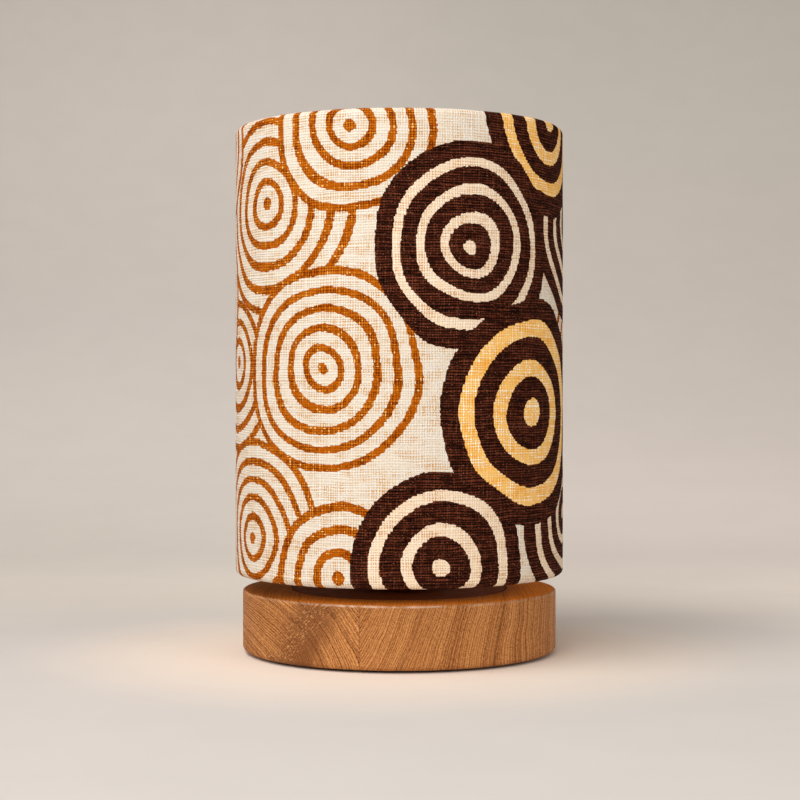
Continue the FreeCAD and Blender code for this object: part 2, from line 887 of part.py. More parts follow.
def holder_contact():
    """The bent brass tongue under the bulb's tip."""
    pad_x = tongue_end - tongue_pad
    bend_x = pad_x - tongue_slope
    foot_x = bend_x - tongue_foot
    under = insert_z1 + tongue_h - tongue_t
    points = [
        V(bend_x, 0, insert_z1),
        V(pad_x, 0, under),
        V(tongue_end, 0, under),
        V(tongue_end, 0, tip_z0),
        V(pad_x - tongue_t / 2, 0, tip_z0),
        V(bend_x - tongue_t, 0, insert_z1 + tongue_t),
        V(foot_x, 0, insert_z1 + tongue_t),
        V(foot_x, 0, insert_z1),
    ]
    tongue = outline_face(points).extrude(V(0, tongue_w, 0))
    tongue.translate(V(0, -tongue_w / 2, 0))
    return tongue


def bulb_tip():
    return turned((0, tip_z0), (tip_d / 2 - tip_bevel, tip_z0), (tip_d / 2, insulator_z0), (0, insulator_z0))


def bulb_insulator():
    return turned(
        (0, insulator_z0),
        (tip_d / 2 + insulator_lip, insulator_z0),
        (potting_d / 2, bulb_cap_z0),
        (0, bulb_cap_z0),
    )


def bulb_cap():
    """The bulb's metal screw cap, hollow round the potting."""
    bar = waved(cap_mean_d / 2, cap_wave, bulb_cap_z0, cap_turns)
    return bar.cut(cylinder(potting_d / 2, bulb_cap_z0 - past, bulb_cap_z1 + past))


def bulb_collar():
    """The moulded body between the screw cap and the globe, with the potting inside the cap."""
    rim_r = globe_neck_d / 2
    board_r = led_board_r() + led_board_play
    return turned(
        (0, bulb_cap_z0),
        (potting_d / 2, bulb_cap_z0),
        (potting_d / 2, bulb_cap_z1),
        (collar_foot_d / 2, bulb_cap_z1),
        (rim_r, collar_z1 - collar_rim_h),
        (rim_r, collar_z1),
        (board_r, collar_z1),
        (board_r, board_z0),
        (0, board_z0),
    )


def led_board_r():
    """The board fits inside the globe's neck."""
    return globe_neck_d / 2 - globe_wall / math.cos(math.radians(globe_waist_deg)) - led_board_gap


def led_board():
    return cylinder(led_board_r(), board_z0, board_z0 + led_board_t)


def globe_side(r, neck_r):
    """The radius and height of the waist and the middle of a globe of one radius."""
    waist = math.radians(globe_waist_deg)
    neck_run = (globe_d / 2 * math.cos(waist) - globe_neck_d / 2) / math.tan(waist)
    centre_z = collar_z1 + neck_run + globe_d / 2 * math.sin(waist)
    half_up = (math.pi / 2 - waist) / 2
    return (
        (neck_r, collar_z1),
        (r * math.cos(waist), centre_z - r * math.sin(waist)),
        (r * math.cos(half_up), centre_z + r * math.sin(half_up), 0, centre_z + r),
    )


def bulb_globe():
    """The opal globe: a ball that runs down in a cone to the collar."""
    neck_r = globe_neck_d / 2
    outer = globe_side(globe_d / 2, neck_r)
    neck_wall = globe_wall / math.cos(math.radians(globe_waist_deg))
    inner = globe_side(globe_d / 2 - globe_wall, neck_r - neck_wall)
    return turned((0, collar_z1), *outer).cut(turned((0, collar_z1), *inner))


def switch_housing():
    """The rocker switch's bezel and body, with clips behind the wooden panel."""
    half_w = bezel_w / 2
    half_h = bezel_h / 2
    bezel = block(-half_w, half_w, flat_y, bezel_y1, switch_z - half_h, switch_z + half_h)
    upright = [e for e in bezel.Edges if abs(e.tangentAt(e.FirstParameter).y) > 0.9]
    bezel = bezel.makeFillet(bezel_corner_r, upright)
    body_x = switch_w / 2
    body_z = switch_body_h / 2
    housing = bezel.fuse(block(-body_x, body_x, switch_y0, flat_y, switch_z - body_z, switch_z + body_z))
    clip_y = flat_y - switch_panel_t
    clip_z = switch_z - clip_w / 2
    for side in (-1, 1):
        x = side * body_x
        tip = V(x + side * clip_reach, clip_y - clip_drop, clip_z)
        points = [V(x, clip_y, clip_z), tip, V(x, clip_y - clip_len, clip_z)]
        housing = housing.fuse(outline_face(points).extrude(V(0, 0, clip_w)))
    well_w = rocker_r + rocker_play
    well_h = rocker_h / 2 + rocker_play
    well = block(-well_w, well_w, flat_y - switch_well, bezel_y1 + past, switch_z - well_h, switch_z + well_h)
    pin_half = rocker_h / 2 + trunnion_len + trunnion_play
    pin = cylinder(trunnion_r + trunnion_play, switch_z - pin_half, switch_z + pin_half, 0, pivot_y)
    return about_z(housing.cut(well).cut(pin), switch_angle)


def switch_rocker():
    """The rocker, a drum with a hollow face, resting in its off position on two trunnions."""
    low = switch_z - rocker_h / 2
    high = switch_z + rocker_h / 2
    drum = cylinder(rocker_r, low, high, 0, pivot_y)
    reach = rocker_r + past
    rise = reach * math.tan(math.radians(rocker_tilt))
    dip_y = pivot_y + rocker_dip
    out_y = pivot_y + reach + past
    under = low - past
    points = [
        V(0, dip_y, under),
        V(reach, dip_y + rise, under),
        V(reach, out_y, under),
        V(-reach, out_y, under),
        V(-reach, dip_y + rise, under),
    ]
    drum = drum.cut(outline_face(points).extrude(V(0, 0, rocker_h + 2 * past)))
    pin_half = rocker_h / 2 + trunnion_len
    pin = cylinder(trunnion_r, switch_z - pin_half, switch_z + pin_half, 0, pivot_y)
    drum = drum.fuse(pin).removeSplitter()
    drum.rotate(V(0, pivot_y, 0), UP, -rocker_tilt)
    return about_z(drum, switch_angle)


def switch_blades():
    blades = []
    half_t = blade_t / 2
    half_w = blade_w / 2
    for side in (-1, 1):
        x = side * blade_pitch / 2
        blade = block(x - half_t, x + half_t, blade_y0, switch_y0, switch_z - half_w, switch_z + half_w)
        blades.append(about_z(blade, switch_angle))
    return group(blades)


def cord_gland():
    """The cord inlet: a flanged nylon bush through the back wall."""
    body = rod_y(gland_flange_d / 2, gland_y1, gland_y1 + gland_flange_t, 0, inlet_z)
    body = body.fuse(rod_y(gland_d / 2, gland_y0, gland_y1 + gland_flange_t, 0, inlet_z)).removeSplitter()
    return body.cut(rod_y(gland_bore / 2, gland_y0 - past, gland_y1 + gland_flange_t + past, 0, inlet_z))


def gland_nut():
    """The nut inside the base that holds the gland."""
    nut = hexagon(gland_nut_af, 0, gland_nut_h).cut(cylinder(gland_d / 2, -past, gland_nut_h + past))
    nut.rotate(ORIGIN, V(1, 0, 0), -90)
    nut.translate(V(0, gland_nut_y0, inlet_z))
    return nut


def pole_places():
    """The middle of each pole along the terminal block."""
    first = -(block_poles - 1) / 2
    return [block_y + (first + i) * block_pitch for i in range(block_poles)]


def terminal_block():
    """The block that joins the leads, hung under the web by one screw between its wells."""
    half_w = block_w / 2
    half_len = block_len / 2
    body = block(block_x - half_w, block_x + half_w, block_y - half_len, block_y + half_len, block_z0, roof_z)
    low = block_z0 - past
    body = body.cut(cylinder(block_screw_d / 2, low, roof_z + past, block_x, block_screw_y))
    body = body.cut(cylinder(block_screw_d, low, block_z0 + block_screw_head_h, block_x, block_screw_y))
    for x, y in well_places():
        body = body.cut(cylinder(block_well_d / 2, low, block_z0 + block_well_depth, x, y))
    return body


def well_places():
    """The middles of the block's screw wells, two to a pole."""
    return [(block_x + side * block_w / 4, y) for y in pole_places() for side in (-1, 1)]


def terminal_screws():
    screws = []
    head_z = block_z0 + terminal_screw_sink
    slot_z = head_z + terminal_slot_depth
    half_len = terminal_slot_len / 2
    half_w = terminal_slot_w / 2
    for x, y in well_places():
        screw = cylinder(block_well_d / 2, head_z, block_z0 + block_well_depth, x, y)
        screws.append(screw.cut(block(x - half_len, x + half_len, y - half_w, y + half_w, block_z0, slot_z)))
    return group(screws)


def block_screw():
    head = cylinder(block_screw_d, block_z0, block_z0 + block_screw_head_h, block_x, block_screw_y)
    shank = cylinder(block_screw_d / 2, block_z0, roof_z + block_screw_grip, block_x, block_screw_y)
    screw = head.fuse(shank).removeSplitter()
    return slotted(screw, 2 * block_screw_d, block_x, block_screw_y, block_z0, 1)


def motor_lead():
    """From the side of the motor's case to the block's first pole."""
    turn = math.radians(motor_lead_angle)
    way = V(math.cos(turn), math.sin(turn), 0)
    start = V(0, motor_y, lead_z) + way * (motor_d / 2)
    pole_y = pole_places()[0]
    points = [
        start,
        start + way * motor_lead_exit,
        V(block_face_x + motor_lead_entry, pole_y, lead_z),
        V(block_face_x, pole_y, lead_z),
    ]
    return lead("motor_lead", points)


def lamp_lead():
    """From the block's middle pole down under the pipe and up through it to the lampholder."""
    pole_y = pole_places()[block_poles // 2]
    points = [
        V(block_face_x, pole_y, lead_z),
        V(block_face_x + lamp_lead_entry, pole_y, lead_z),
        V(0, 0, cover_z1 + lead_drop),
        V(0, 0, holder_cap_z1),
    ]
    return lead("lamp_lead", points)


def switch_lead():
    """From the switch's blades behind the pipe to the block's last pole."""
    turn = math.radians(90 + switch_angle)
    way = V(math.cos(turn), math.sin(turn), 0)
    start = way * blade_y0
    start.z = switch_z
    pole_y = pole_places()[-1]
    points = [
        start,
        start - way * switch_lead_exit,
        V(switch_lead_x, switch_lead_y, (switch_z + lead_z) / 2),
        V(block_face_x + switch_lead_entry, pole_y, lead_z),
        V(block_face_x, pole_y, lead_z),
    ]
    return lead("switch_lead", points)


PIECES = (
    base_plinth,
    bottom_cover,
    cover_screws,
    foot_pads,
    motor_case,
    motor_plate,
    motor_screws,
    motor_shaft,
    drive_pinion,
    ring_gear,
    gear_screws,
    turntable_hub,
    bearing_inner_rings,
    bearing_outer_rings,
    bearing_balls,
    bearing_cages,
    bearing_spacer,
    lamp_pipe,
    pipe_lower_nut,
    pipe_washer,
    pipe_clamp_nut,
    bearing_nut,
    shade_frame,
    shade_top_ring,
    shade_liner,
    shade_fabric,
    shade_ring_nut,
    holder_cap,
    holder_sleeve,
    holder_insert,
    holder_screw_shell,
    holder_contact,
    bulb_tip,
    bulb_insulator,
    bulb_cap,
    bulb_collar,
    led_board,
    bulb_globe,
    switch_housing,
    switch_rocker,
    switch_blades,
    cord_gland,
    gland_nut,
    terminal_block,
    terminal_screws,
    block_screw,
    motor_lead,
    lamp_lead,
    switch_lead,
)

os.makedirs("parts", exist_ok=True)
for piece in PIECES:
    save(piece.__name__, piece())
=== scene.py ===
"""The look of the rotating table lamp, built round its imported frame.

Lengths are in metres unless a name says mm.
"""

import math

import bmesh
import bpy
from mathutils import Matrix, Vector, noise


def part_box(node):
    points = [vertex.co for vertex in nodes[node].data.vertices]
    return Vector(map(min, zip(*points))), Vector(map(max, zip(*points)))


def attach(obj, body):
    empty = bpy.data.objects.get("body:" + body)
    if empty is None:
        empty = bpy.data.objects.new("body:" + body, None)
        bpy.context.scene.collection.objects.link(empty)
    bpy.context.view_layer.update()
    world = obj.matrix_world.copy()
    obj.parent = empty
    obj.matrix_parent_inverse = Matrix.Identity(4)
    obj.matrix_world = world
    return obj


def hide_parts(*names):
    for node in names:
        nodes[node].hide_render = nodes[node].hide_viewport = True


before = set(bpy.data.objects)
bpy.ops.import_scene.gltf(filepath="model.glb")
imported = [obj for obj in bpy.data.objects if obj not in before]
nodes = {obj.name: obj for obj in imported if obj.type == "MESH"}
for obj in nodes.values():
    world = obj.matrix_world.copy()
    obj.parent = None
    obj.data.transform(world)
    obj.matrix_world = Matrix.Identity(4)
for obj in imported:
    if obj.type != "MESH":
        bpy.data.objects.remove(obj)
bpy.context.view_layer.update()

MM = 0.001
MM_PER_M = 1000.0
FULL_TURN = 2 * math.pi

# Camera, fitted to the photograph's rims and base edge
frame_width_px = 800
camera_distance = 0.8746
camera_height = 0.1278
camera_lens = 80.09
camera_sensor = 36.0
camera_reach = 20.0
centre_shift = 0.7 / frame_width_px
horizon_shift = -10.4 / frame_width_px

# Threads and the shade's wall
shade_r_mm = 80.0
liner_r_mm = 79.0
thread_count = 420
thread_row_mm = 1.2
thread_heights = (0.35, 1.4)
drift_mm = 1.6
crowd_mm = 1.5
weave_depth_mm = 0.27

# Mesh of the cloth
cloth_columns = 504
cloth_row_mm = 2.2
lining_rows = 12
hem_rows = 10
inner_hem_rows = 6
leg_rows = 4
cloth_t_mm = 1.0
roll_mm = 2.8
hem_leg_mm = 8.0
lap_mm = 10.0
lap_rise_mm = 0.55
lap_ease = 2.5

# Unevenness of the cloth: size of each wave, how often it comes, and how it grows towards the rims
wall_wave_mm = 0.10
wall_waves_round = 5.5
wall_wave_length_mm = 15
rim_wave_mm = 0.16
rim_waves_per_column = 0.83
rim_waves_per_mm = 0.45
rim_wave_level = 4.0
rim_wave_in_wall = 0.35
rim_starts_mm = 4
rim_full_mm = 6

# How the print breaks up: share of a thread that its edges snap to, spread of that, slip of the whole print
snap_share = 0.44
snap_spread = 0.7
slip_mm = 5.0

# Inks of the printed cloth: index, body, thread crowns (paler, for less ink and a painted highlight), gaps
# between threads (painted shade)
CREAM, OCHRE, BROWN, GOLD, IVORY = range(5)
INKS = {
    CREAM: ((221, 211, 195), (236, 231, 228), (192, 143, 84)),
    OCHRE: ((173, 87, 5), (228, 152, 50), (90, 29, 1)),
    BROWN: ((63, 26, 14), (114, 63, 43), (12, 3, 1)),
    GOLD: ((244, 194, 110), (255, 248, 232), (226, 148, 46)),
    IVORY: ((234, 212, 184), (248, 240, 230), (188, 140, 98)),
}
BODY, CROWNS, SHADED_GAPS = range(3)
BARE_OCHRE = (250, 206, 128)
SOAKED_OCHRE = (88, 30, 2)
RUST_FIBRE = (160, 78, 30)
PALE_FIBRE = (168, 120, 96)

# How each line ink is drawn: ground, share of the period that the line takes, plain border in millimetres
STROKES = {
    OCHRE: (CREAM, 0.40, 0.0),
    IVORY: (BROWN, 0.36, 8.5),
    GOLD: (BROWN, 0.42, 9.5),
}

# Radius of a roundel's middle dot, in line widths
dot_in_lines = 0.8

# Printed roundels: place round the shade and above its foot, radius (all in millimetres), rings, line ink.
# Later roundels lie over earlier ones.
ROUNDELS = (
    (-104, 98, 41, 4, OCHRE),
    (-70, 172, 50, 5, OCHRE),
    (-22, 206, 40, 4, OCHRE),
    (-82, 18, 46, 5, OCHRE),
    (-36, 96, 47, 5, OCHRE),
    (-132, 204, 38, 4, OCHRE),
    (-150, 130, 46, 5, OCHRE),
    (-166, 34, 50, 5, OCHRE),
    (-184, 196, 42, 4, OCHRE),
    (-212, 104, 49, 5, OCHRE),
    (204, 116, 47, 5, OCHRE),
    (180, 14, 40, 4, OCHRE),
    (222, 204, 44, 5, OCHRE),
    (240, 40, 46, 5, OCHRE),
    (132, 100, 40, 4, OCHRE),
    (-28, 2, 34, 3, OCHRE),
    (120, 168, 48, 3, IVORY),
    (86, 212, 44, 2, GOLD),
    (34, 152, 47, 3, IVORY),
    (112, 28, 48, 3, IVORY),
    (70, 76, 52, 2, GOLD),
    (20, 8, 42, 2, IVORY),
    (160, 176, 50, 2, GOLD),
    (154, 62, 45, 3, IVORY),
    (-236, 184, 46, 2, GOLD),
    (-228, 24, 44, 2, IVORY),
)

# Growth rings of the left stave: their centre lies left of the axis and below the floor
ring_pitch_mm = 1.08
ring_centre_left_mm = 88.0
ring_centre_down_mm = 21.0

# Growth lines of the right stave: lean at the joint and its change away from it, the height that they turn
# about, and an offset
line_lean = 0.53
line_lean_per_mm = -0.00568
line_turn_z_mm = 15.0
line_offset_mm = 260.0

# The joint between the staves, and the marks in the left stave: distances left of the axis
joint_x_mm = -18.2
joint_sway_mm = 0.4
patch_left_mm = 42.0
rays_left_mm = 59.0
rays_arc_mm = 62.0

# Top and arris of the base: where each begins and is full, by radius and by height. The top's painted shade
# deepens inwards and towards the left, and the arris's painted highlight fades out at the sides
top_radius_mm = (76.0, 75.0)
top_z_mm = (29.9, 30.5)
top_shade_radius_mm = (46.0, 68.0)
top_shade_x_mm = (-74.0, -30.0)
arris_radius_mm = (75.2, 76.1)
arris_z_mm = (29.4, 30.1)
arris_left_x_mm = (-48.0, -20.0)
arris_right_x_mm = (50.0, 5.0)
pore_depth_mm = 0.16

# Tones of the wood
WOOD_RAMP = ((0.38, (135, 79, 35)), (0.5, (168, 108, 57)), (0.62, (191, 131, 77)))
EARLY_WOOD = (212, 151, 92)
LATE_WOOD = (82, 41, 16)
PORES = (62, 28, 12)
PATCH = (104, 58, 27)
RAYS = (218, 158, 102)
JOINT = (92, 48, 24)
# Painted shade and light on the top in the gap: darker inwards and at the left, bright warm orange at the
# right
TOP_INNER_PAINTED_SHADE = (138, 64, 4)
TOP_LEFT_PAINTED_SHADE = (150, 78, 4)
TOP_RIGHT_PAINTED_LIGHT = (236, 126, 8)
TOP_LINES = (100, 46, 3)
# Painted highlight along the front of the arris
ARRIS_PAINTED_HIGHLIGHT = (222, 182, 156)

# Rocker switch: turn of the switch round the base and lean of the rocker's faces, in degrees
switch_turn = 32.0
rocker_lean = 10.0
rocker_pivot_mm = 73.7
rocker_dip_mm = 1.8
rocker_z_mm = 11.7

# Marks on the rocker: half width and half height of their ovals, and how they stand on the faces
bar_half_mm = (0.22, 1.15)
ring_outer_half_mm = (0.85, 1.15)
ring_inner_half_mm = (0.48, 0.78)
oval_points = 48
mark_place_mm = 2.75
mark_rise_mm = 0.14
mark_side_share = 0.7
mark_root_mm = 0.10
mark_round_mm = 0.05

# Yellow chips on the board in the bulb
chip_count = 12
chip_ring_mm = 12.5
chip_half_mm = 1.5
chip_half_share = 0.18

# Axis of the motor's case, and ribs of the weave pressed into the liner, in radians to a millimetre
motor_axis_mm = (0.0, -37.5)
liner_rib_per_mm = 5.2

# Stage: a floor, a long bend and a wall
floor_half_width = 8.0
floor_front = -8.0
bend_start = 0.30
bend_r = 2.0
bend_steps = 48
wall_height = 4.0

# Paper of the floor, from far to near: left, right in front, right behind, round the lamp. Right behind is
# painted light over the lamp's shadow, and round the lamp is a painted pool of light
FLOOR_LEFT = (200, 194, 190)
FLOOR_RIGHT_FRONT = (208, 203, 198)
FLOOR_RIGHT_BACK_PAINTED_LIGHT = (226, 219, 213)
FLOOR_PAINTED_LIGHT_POOL = (232, 217, 203)
floor_left_right_mm = (-300.0, 300.0)
floor_front_back_mm = (-150.0, 20.0)
floor_light_pool_mm = (200.0, 80.0)

# Paper behind the lamp: where each tone starts and is full, in millimetres behind the axis, then the tone
# at the left and at the right. The tones are painted light and shade: lighter at the right where the lamp's
# shadow falls, and graded to even out how the lights fall off with distance.
BACKDROP = (
    (40, 220, (206, 198, 189), (226, 216, 207)),
    (270, 480, (194, 187, 179), (207, 198, 192)),
    (500, 1000, (198, 191, 185), (195, 187, 180)),
    (1150, 1750, (214, 206, 198), (202, 196, 188)),
)

# Lights: name, place, point aimed at, width, height, watts, colour
WARM = (255, 251, 247)
NEUTRAL = (255, 253, 250)
lamp_middle = (0, 0, 0.13)
LIGHTS = (
    ("key", (-0.60, -1.40, 0.90), lamp_middle, 1.3, 1.0, 21.0, NEUTRAL),
    ("fill", (1.50, -1.50, 0.70), lamp_middle, 1.2, 1.2, 10.6, WARM),
    ("backdrop", (0, 0.35, 0.85), (0, 1.50, 0.45), 1.6, 0.4, 6.0, WARM),
    ("top", (-0.45, -0.25, 1.00), (0, 0, 0), 0.40, 0.40, 4.5, NEUTRAL),
)
world_strength = 0.42


def srgb(red, green, blue):
    """A colour given as 0 to 255 on screen, as Blender's linear colour."""
    linear = []
    for value in (red, green, blue):
        share = value / 255
        linear.append(share / 12.92 if share <= 0.04045 else ((share + 0.055) / 1.055) ** 2.4)
    return (*linear, 1.0)


def add_object(name, data):
    """A new object in the scene."""
    made = bpy.data.objects.new(name, data)
    bpy.context.scene.collection.objects.link(made)
    return made


def add_mesh(name, built, material):
    """A new object from a finished bmesh, in one material."""
    data = bpy.data.meshes.new(name)
    built.to_mesh(data)
    built.free()
    data.materials.append(material)
    return add_object(name, data)


class Finish:
    """A material, with short calls for the nodes in it."""

    def __init__(self, name):
        self.material = bpy.data.materials.new(name)
        self.material.use_nodes = True
        self.tree = self.material.node_tree
        self.surface = self.tree.nodes["Principled BSDF"]
        self.place = None

    def node(self, kind, **settings):
        made = self.tree.nodes.new(kind)
        for key, value in settings.items():
            setattr(made, key, value)
        return made

    def put(self, value, socket):
        if isinstance(value, bpy.types.NodeSocket):
            self.tree.links.new(value, socket)
        else:
            socket.default_value = value

    def fill(self, made, values):
        """Puts values into a node's first inputs."""
        for value, socket in zip(values, made.inputs):
            self.put(value, socket)
        return made

    def set(self, **values):
        """Sets inputs of the shader, with _ for each space in a name."""
        for key, value in values.items():
            self.put(value, self.surface.inputs[key.replace("_", " ")])

    def math(self, operation, *values):
        return self.fill(self.node("ShaderNodeMath", operation=operation), values).outputs[0]

    def add(self, a, b):
        return self.math("ADD", a, b)

    def sub(self, a, b):
        return self.math("SUBTRACT", a, b)

    def mul(self, a, b):
        return self.math("MULTIPLY", a, b)

    def fma(self, a, b, c):
        return self.math("MULTIPLY_ADD", a, b, c)

    def swing(self, value, width):
        """A value from 0 to 1, as one from minus to plus half the width."""
        return self.fma(value, width, -width / 2)

    def hump(self, turns):
        """1 at each whole turn and 0 half way between."""
        return self.fma(self.math("COSINE", self.mul(turns, FULL_TURN)), 0.5, 0.5)

    def vector(self, operation, *values, out=0):
        return self.fill(self.node("ShaderNodeVectorMath", operation=operation), values).outputs[out]

    def length(self, x, y):
        return self.vector("LENGTH", self.join(x, y, 0.0), out=1)

    def parts(self, vector):
        made = self.fill(self.node("ShaderNodeSeparateXYZ"), (vector,))
        return made.outputs[0], made.outputs[1], made.outputs[2]

    def join(self, x, y, z):
        return self.fill(self.node("ShaderNodeCombineXYZ"), (x, y, z)).outputs[0]

    def mm(self):
        """The point on the object, in millimetres."""
        if self.place is None:
            coords = self.node("ShaderNodeTexCoord").outputs["Object"]
            self.place = self.vector("MULTIPLY", coords, (MM_PER_M,) * 3)
        return self.place

    def noise(self, vector, scale=1.0, detail=2.0, roughness=0.5, dimensions="3D"):
        made = self.node("ShaderNodeTexNoise", noise_dimensions=dimensions)
        self.put(vector, made.inputs["W" if dimensions == "1D" else "Vector"])
        made.inputs["Scale"].default_value = scale
        made.inputs["Detail"].default_value = detail
        made.inputs["Roughness"].default_value = roughness
        return made.outputs[0]

    def specks(self, per_mm, detail=2.0, roughness=0.5):
        """Noise through the solid, alike in all directions."""
        place = self.vector("MULTIPLY", self.mm(), (per_mm,) * 3)
        return self.noise(place, detail=detail, roughness=roughness)

    def cells(self, vector):
        """Distance to scattered points, for dots."""
        made = self.node("ShaderNodeTexVoronoi")
        self.put(vector, made.inputs["Vector"])
        made.inputs["Scale"].default_value = 1.0
        return made.outputs["Distance"]

    def random(self, vector):
        made = self.node("ShaderNodeTexWhiteNoise", noise_dimensions="3D")
        self.put(vector, made.inputs["Vector"])
        return made.outputs["Value"]

    def remap(self, value, low, high, to_low=0.0, to_high=1.0):
        made = self.node("ShaderNodeMapRange", interpolation_type="SMOOTHSTEP")
        return self.fill(made, (value, low, high, to_low, to_high)).outputs[0]

    def mix(self, factor, a, b, blend="MIX"):
        """Two colours mixed; the node also has inputs for numbers and vectors, which are passed over."""
        made = self.node("ShaderNodeMix", data_type="RGBA", blend_type=blend)
        for value, index in ((factor, 0), (a, 6), (b, 7)):
            self.put(value, made.inputs[index])
        return made.outputs[2]

    def toned(self, colour, tone):
        """A colour made darker or lighter by a factor."""
        return self.mix(1.0, colour, self.join(tone, tone, tone), blend="MULTIPLY")

    def ramp(self, value, stops, steps=False):
        made = self.node("ShaderNodeValToRGB")
        made.color_ramp.interpolation = "CONSTANT" if steps else "LINEAR"
        elements = made.color_ramp.elements
        while len(elements) < len(stops):
            elements.new(0.5)
        for element, (at, colour) in zip(elements, stops):
            element.position = at
            element.color = srgb(*colour)
        return self.fill(made, (value,)).outputs[0]

    def bump(self, height, depth_mm):
        made = self.node("ShaderNodeBump")
        made.inputs["Strength"].default_value = 1.0
        made.inputs["Distance"].default_value = depth_mm * MM
        self.put(height, made.inputs["Height"])
        return made.outputs[0]


# Printed cloth


def printed_ink(f, u, v):
    """The index of the ink at a place on the cloth."""
    point = f.join(u, v, 0.0)
    ink = 0.0
    for at_u, at_v, radius, rings, line in ROUNDELS:
        ground, share, border = STROKES[line]
        drawn = radius - border
        period = drawn / (rings + share * dot_in_lines)
        distance = f.vector("DISTANCE", point, (at_u, at_v, 0.0), out=1)
        inside = f.math("LESS_THAN", distance, radius)
        turns = f.math("FRACT", f.fma(distance, -1 / period, drawn / period))
        ring = f.math("LESS_THAN", turns, share)
        if border:
            ring = f.mul(ring, f.math("LESS_THAN", distance, drawn))
        here = f.fma(ring, float(line - ground), float(ground))
        ink = f.fma(inside, f.sub(here, ink), ink)
    return ink


def ink_ramp(f, ink, layer):
    """The colour of the body, crown or gap layer for the index of an ink."""
    last = len(INKS) - 1
    stops = [(max(0.0, (index - 0.5) / last), INKS[index][layer]) for index in INKS]
    return f.ramp(f.mul(ink, 1 / last), stops, steps=True)


